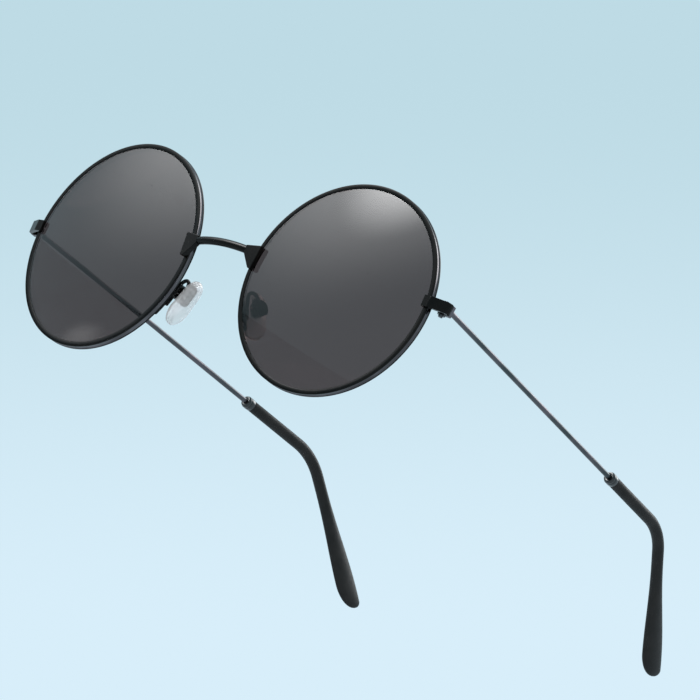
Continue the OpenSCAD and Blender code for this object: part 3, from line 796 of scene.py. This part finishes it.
def makeWorld(values):
    world = bpy.data.worlds.new("studio")
    bpy.context.scene.world = world
    world.use_nodes = True
    tree = world.node_tree
    tree.nodes.clear()
    out = tree.nodes.new("ShaderNodeOutputWorld")
    place = tree.nodes.new("ShaderNodeTexCoord")
    rise = tree.nodes.new("ShaderNodeVectorMath")
    rise.operation = "DOT_PRODUCT"
    rise.inputs[1].default_value = pictureUp
    spread = tree.nodes.new("ShaderNodeMapRange")
    spread.interpolation_type = "SMOOTHSTEP"
    spread.inputs["From Min"].default_value = values["middle"] - values["spread"]
    spread.inputs["From Max"].default_value = values["middle"] + values["spread"]
    colors = tree.nodes.new("ShaderNodeMix")
    colors.data_type = "RGBA"
    colors.inputs["A"].default_value = (*values["bottom"], 1)
    colors.inputs["B"].default_value = (*values["top"], 1)
    tree.links.new(place.outputs["Generated"], rise.inputs[0])
    tree.links.new(rise.outputs["Value"], spread.inputs["Value"])
    tree.links.new(spread.outputs["Result"], colors.inputs["Factor"])
    seen = tree.nodes.new("ShaderNodeBackground")
    tree.links.new(colors.outputs["Result"], seen.inputs["Color"])
    light = tree.nodes.new("ShaderNodeBackground")
    light.inputs["Color"].default_value = (*values["studio"], 1)
    light.inputs["Strength"].default_value = values["strength"]
    path = tree.nodes.new("ShaderNodeLightPath")
    mix = tree.nodes.new("ShaderNodeMixShader")
    anyRay = path.outputs["Is Camera Ray"]
    for ray in ("Is Glossy Ray", "Is Transmission Ray"):
        either = tree.nodes.new("ShaderNodeMath")
        either.operation = "MAXIMUM"
        tree.links.new(anyRay, either.inputs[0])
        tree.links.new(path.outputs[ray], either.inputs[1])
        anyRay = either.outputs[0]
    tree.links.new(anyRay, mix.inputs[0])
    tree.links.new(light.outputs[0], mix.inputs[1])
    tree.links.new(seen.outputs[0], mix.inputs[2])
    tree.links.new(mix.outputs[0], out.inputs[0])


makeWorld(backdrop)

# floor: a pale disc that is clear from below, because the photograph's camera looks up past it
floorShape = {"radius": 0.19, "sides": 180, "down": 0.0002, "color": (0.74, 0.84, 0.88), "roughness": 0.7}


def makeFloor(shape):
    bpy.ops.object.select_all(action="DESELECT")
    bpy.ops.mesh.primitive_circle_add(vertices=shape["sides"], radius=shape["radius"], fill_type="NGON",
                                      location=(0, 0, -shape["down"]))
    floor = bpy.context.object
    floor.name = "floor"
    material = bpy.data.materials.new("floorPale")
    material.use_nodes = True
    tree = material.node_tree
    shader = tree.nodes["Principled BSDF"]
    shader.inputs["Base Color"].default_value = (*shape["color"], 1)
    shader.inputs["Roughness"].default_value = shape["roughness"]
    clear = tree.nodes.new("ShaderNodeBsdfTransparent")
    geometry = tree.nodes.new("ShaderNodeNewGeometry")
    mix = tree.nodes.new("ShaderNodeMixShader")
    tree.links.new(geometry.outputs["Backfacing"], mix.inputs[0])
    tree.links.new(shader.outputs[0], mix.inputs[1])
    tree.links.new(clear.outputs[0], mix.inputs[2])
    tree.links.new(mix.outputs[0], tree.nodes["Material Output"].inputs[0])
    floor.data.materials.append(material)
    floor.visible_glossy = False


makeFloor(floorShape)

# reflected panels, seen by glossy rays alone; each fades out from its middle
away = 1.5
panels = {
    "widePanel": {"azimuth": -140.8, "rise": 43.2, "half": (1.37, 1.42), "strength": 6.2, "fade": 4},
    "brightPanel": {"azimuth": -148.3, "rise": 42.8, "half": (0.47, 0.65), "strength": 16.5, "fade": 2},
    "lowPanel": {"azimuth": -131.5, "rise": -3.4, "half": (0.2, 0.07), "strength": 1.3, "fade": 2},
    "backPanel": {"azimuth": 8, "rise": 46, "half": (0.9, 0.6), "strength": 4.8, "fade": 1.5},
}


# a bare plane of the stage, with an empty material
def addCard(name, half):
    bpy.ops.object.select_all(action="DESELECT")
    bpy.ops.mesh.primitive_plane_add(size=2)
    card = bpy.context.object
    card.name = name
    editMode(card)
    bpy.ops.transform.resize(value=(*half, 1))
    objectMode()
    material = bpy.data.materials.new(name)
    material.use_nodes = True
    material.node_tree.nodes.clear()
    card.data.materials.append(material)
    for ray in ("camera", "diffuse", "transmission", "volume_scatter", "shadow"):
        setattr(card, "visible_" + ray, False)
    return card, material.node_tree, material.node_tree.nodes.new("ShaderNodeOutputMaterial")


def makePanel(name, values):
    way = directionOf(values["azimuth"], values["rise"])
    panel, tree, out = addCard(name, values["half"])
    panel.rotation_mode = "QUATERNION"
    panel.location = way * away
    panel.rotation_quaternion = (-way).to_track_quat("Z", "Y")
    light = tree.nodes.new("ShaderNodeEmission")
    place = tree.nodes.new("ShaderNodeTexCoord")
    mapping = tree.nodes.new("ShaderNodeMapping")
    mapping.inputs["Scale"].default_value = (1 / values["half"][0], 1 / values["half"][1], 1)
    square = tree.nodes.new("ShaderNodeVectorMath")
    square.operation = "DOT_PRODUCT"
    spread = tree.nodes.new("ShaderNodeMapRange")
    spread.inputs["To Min"].default_value = 1
    spread.inputs["To Max"].default_value = 0
    power = tree.nodes.new("ShaderNodeMath")
    power.operation = "POWER"
    power.inputs[1].default_value = values["fade"]
    scale = tree.nodes.new("ShaderNodeMath")
    scale.operation = "MULTIPLY"
    scale.inputs[1].default_value = values["strength"]
    tree.links.new(place.outputs["Object"], mapping.inputs["Vector"])
    tree.links.new(mapping.outputs["Vector"], square.inputs[0])
    tree.links.new(mapping.outputs["Vector"], square.inputs[1])
    tree.links.new(square.outputs["Value"], spread.inputs["Value"])
    tree.links.new(spread.outputs["Result"], power.inputs[0])
    tree.links.new(power.outputs[0], scale.inputs[0])
    tree.links.new(scale.outputs[0], light.inputs["Strength"])
    clear = tree.nodes.new("ShaderNodeBsdfTransparent")
    both = tree.nodes.new("ShaderNodeAddShader")
    tree.links.new(light.outputs[0], both.inputs[0])
    tree.links.new(clear.outputs[0], both.inputs[1])
    tree.links.new(both.outputs[0], out.inputs[0])


for name, values in panels.items():
    makePanel(name, values)

# a dark card below the horizon in front, which the lenses mirror as a darker corner
darkCard = {"azimuth": -135, "rise": 3.6, "up": (0.272, -0.17, 0.947), "half": (1.3, 0.3), "opacity": 0.36}


def makeDarkCard(values):
    way = directionOf(values["azimuth"], values["rise"])
    edge = Vector(values["up"]).cross(way).normalized()
    high = way.cross(edge)
    card, tree, out = addCard("darkCard", values["half"])
    turn = Matrix((edge, high, edge.cross(high))).transposed().to_4x4()
    card.matrix_world = Matrix.Translation(way * away - high * values["half"][1]) @ turn
    place = tree.nodes.new("ShaderNodeTexCoord")
    axes = tree.nodes.new("ShaderNodeSeparateXYZ")
    fade = tree.nodes.new("ShaderNodeMapRange")
    fade.inputs["From Min"].default_value = -values["half"][1]
    fade.inputs["From Max"].default_value = values["half"][1] / 2
    fade.inputs["To Max"].default_value = values["opacity"]
    dark = tree.nodes.new("ShaderNodeEmission")
    dark.inputs["Strength"].default_value = 0
    clear = tree.nodes.new("ShaderNodeBsdfTransparent")
    mix = tree.nodes.new("ShaderNodeMixShader")
    tree.links.new(place.outputs["Object"], axes.inputs[0])
    tree.links.new(axes.outputs["Y"], fade.inputs["Value"])
    tree.links.new(fade.outputs["Result"], mix.inputs[0])
    tree.links.new(clear.outputs[0], mix.inputs[1])
    tree.links.new(dark.outputs[0], mix.inputs[2])
    tree.links.new(mix.outputs[0], out.inputs[0])


makeDarkCard(darkCard)

# lamps: the place, the diameter and the power of each
lamps = {
    "keyLight": ((0.5, -0.8, 1.2), 0.8, 7),
    "fillLight": ((-1.0, -0.4, 0.8), 1.0, 3),
}


def softLight(name, place, size, power):
    data = bpy.data.lights.new(name, "AREA")
    data.shape = "DISK"
    data.size = size
    data.energy = power
    light = bpy.data.objects.new(name, data)
    light.location = place
    light.rotation_mode = "QUATERNION"
    light.rotation_quaternion = (-Vector(place)).to_track_quat("-Z", "Y")
    light.visible_glossy = False
    bpy.context.scene.collection.objects.link(light)


for name, values in lamps.items():
    softLight(name, *values)
print("stage ready")
